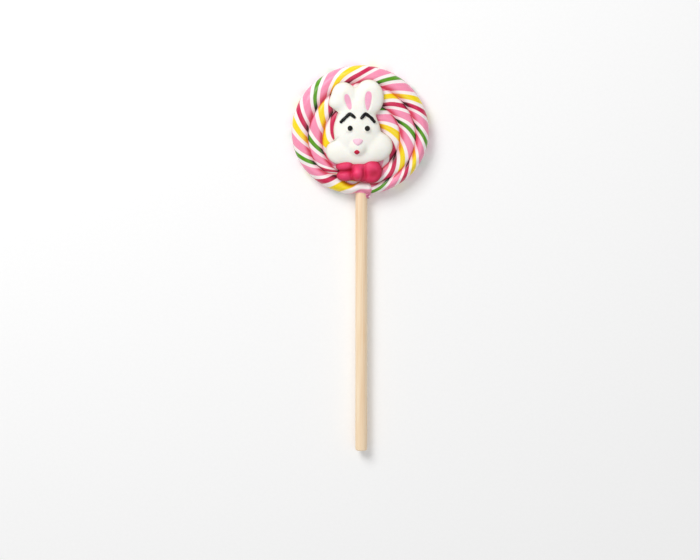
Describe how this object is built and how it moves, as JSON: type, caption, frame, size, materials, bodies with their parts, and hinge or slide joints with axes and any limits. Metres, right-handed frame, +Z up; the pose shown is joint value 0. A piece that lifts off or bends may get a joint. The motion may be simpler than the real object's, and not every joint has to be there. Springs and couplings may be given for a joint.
{
  "type": "lollipop",
  "caption": "Flat round lollipop: a coiled, twisted rope of striped candy on a wooden stick, with an icing rabbit in a bow tie on its face. Lies on its back.",
  "frame": {"origin": "middle of the candy, on the plane that its flat back rests on", "axes": "+Y from the stick towards the top of the candy, +Z up out of the rabbit's face"},
  "size_m": [0.0716, 0.2034, 0.0187],
  "materials": {
    "striped_candy": "glossy boiled sugar in pink, white, red, green and yellow stripes",
    "birch_wood": "bare, matt",
    "white_icing": "smooth, satin",
    "pink_icing": "smooth, satin",
    "nose_icing": "smooth, satin",
    "mouth_icing": "smooth, satin",
    "black_icing": "smooth, satin",
    "red_icing": "smooth, satin"
  },
  "bodies": {
    "root": {"candy_swirl": "striped_candy", "stick": "birch_wood", "rabbit_body": "white_icing", "bow_tie": "red_icing", "ear_inside_left": "pink_icing", "ear_inside_right": "pink_icing", "nose": "nose_icing", "mouth": "mouth_icing", "pupil_left": "black_icing", "pupil_right": "black_icing", "brow_left": "black_icing", "brow_right": "black_icing"}
  },
  "joints": []
}
